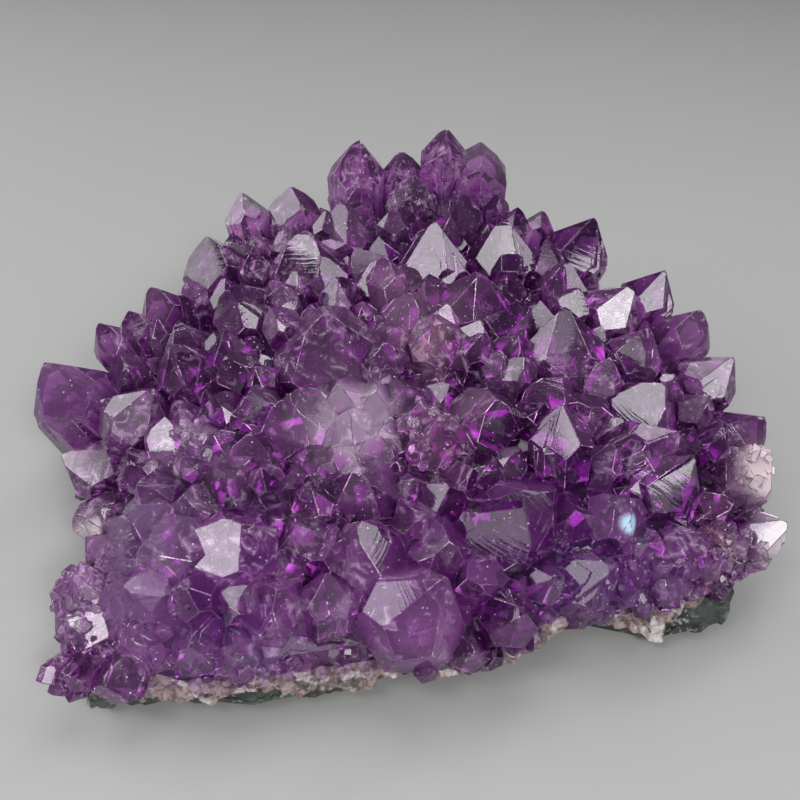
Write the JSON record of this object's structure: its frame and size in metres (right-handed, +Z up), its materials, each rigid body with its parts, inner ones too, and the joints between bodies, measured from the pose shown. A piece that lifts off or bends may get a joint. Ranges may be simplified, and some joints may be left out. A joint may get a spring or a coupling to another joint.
{
  "type": "amethyst cluster",
  "caption": "Natural amethyst cluster: a crust of violet quartz crystals on a pale quartz layer and a slab of dark rock that rests flat.",
  "frame": {"origin": "middle of the bounding box's footprint, on the surface the rock rests on", "axes": "+X to the right of the cluster's front, +Y to its back, +Z up"},
  "size_m": [0.209, 0.202, 0.0712],
  "materials": {
    "amethyst": "clear violet crystal",
    "pale_quartz": "milky, rough broken rim",
    "dark_rock": "dull, uneven"
  },
  "bodies": {
    "root": {"amethyst_crystals": "amethyst", "quartz_layer": "pale_quartz", "rock_matrix": "dark_rock"}
  },
  "joints": []
}
